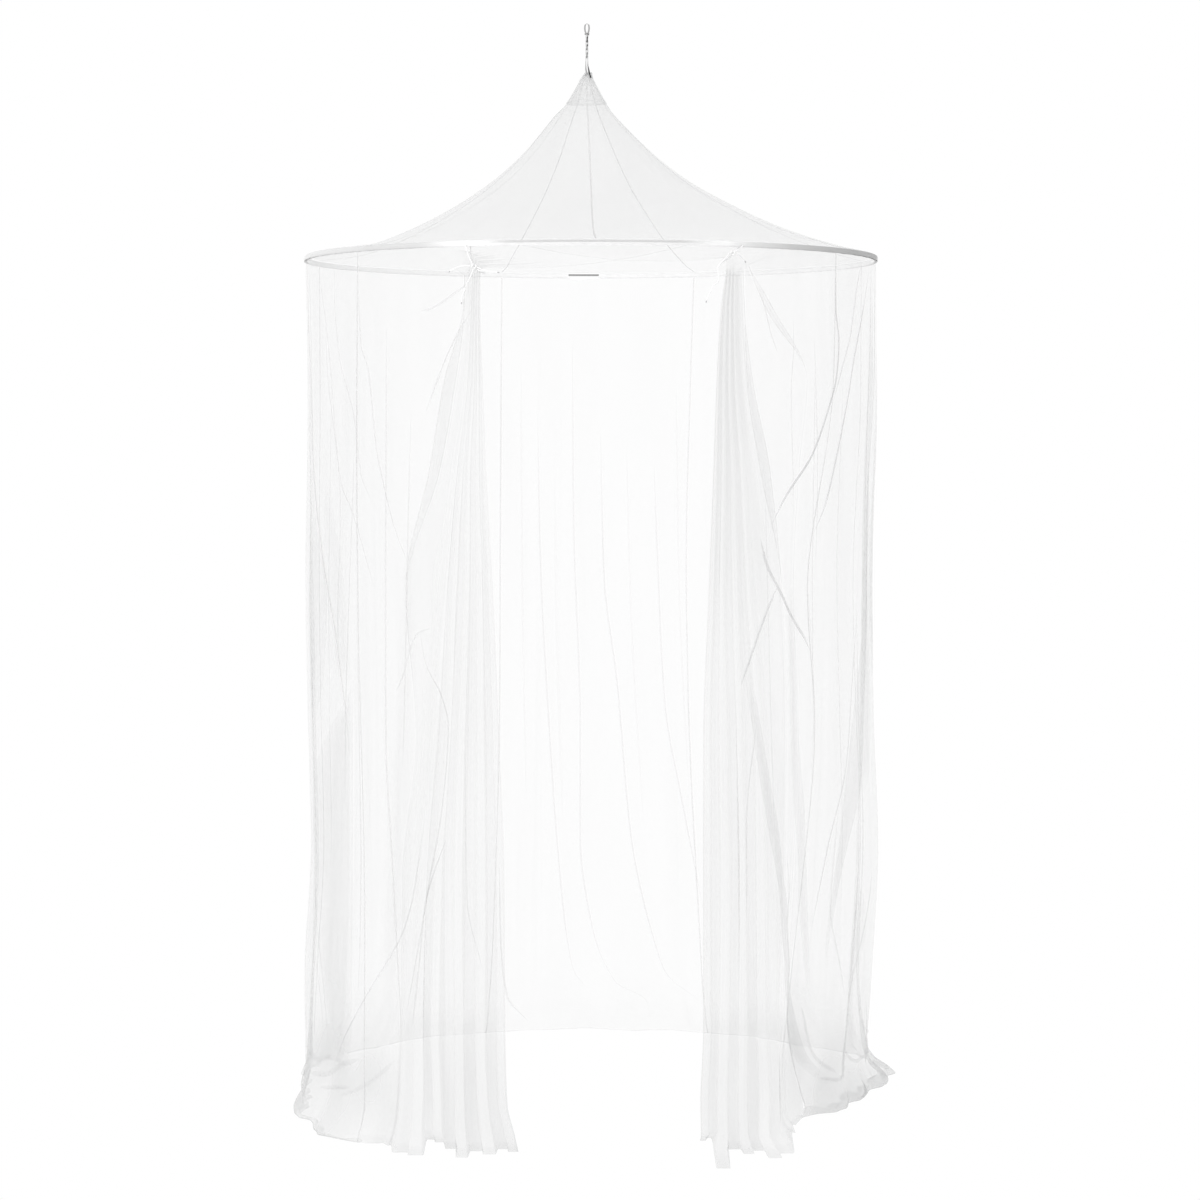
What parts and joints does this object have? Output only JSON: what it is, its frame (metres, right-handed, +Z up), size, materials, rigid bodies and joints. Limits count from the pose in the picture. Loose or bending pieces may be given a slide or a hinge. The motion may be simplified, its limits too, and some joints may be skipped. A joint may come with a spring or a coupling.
{
  "type": "mosquito net canopy with hoop",
  "caption": "Round mosquito net canopy that hangs from a loop: a tented net roof on a hoop, net walls down to the floor, and front panels tied back to open a doorway.",
  "frame": {"origin": "inner top of the hanging loop's eye, where a hook bears; the hoop's axis lies 10.5 mm towards +X and the floor 2.815 m below", "axes": "+Z up, -Y towards the open front, +X to the right seen from the front"},
  "size_m": [1.6104, 1.8227, 2.8159],
  "materials": {
    "net": "fine sheer white mesh",
    "casing_tape": "plain white tape",
    "loop_tape": "narrow woven tape",
    "tie_string": "thin round string",
    "hoop_rod": "smooth grey rod"
  },
  "bodies": {
    "root": {"hanging_loop": "loop_tape", "loop_knot": "loop_tape", "roof_cap": "net", "roof_gore_1": "net", "roof_gore_2": "net", "roof_gore_3": "net", "roof_gore_4": "net", "roof_gore_5": "net", "roof_gore_6": "net", "roof_gore_7": "net", "wall_right": "net", "wall_back_right": "net", "wall_back": "net", "wall_back_left": "net", "wall_left": "net", "front_left": "net", "front_right": "net", "hoop_rod": "hoop_rod", "hoop_casing": "casing_tape", "casing_flap": "casing_tape", "tie_left": "tie_string", "tie_right": "tie_string", "tie_left_knot": "tie_string", "tie_right_knot": "tie_string", "tie_left_end_outer": "tie_string", "tie_left_end_inner": "tie_string", "tie_left_end_low": "tie_string", "tie_right_end_low": "tie_string", "tie_right_end_outer": "tie_string"}
  },
  "joints": []
}
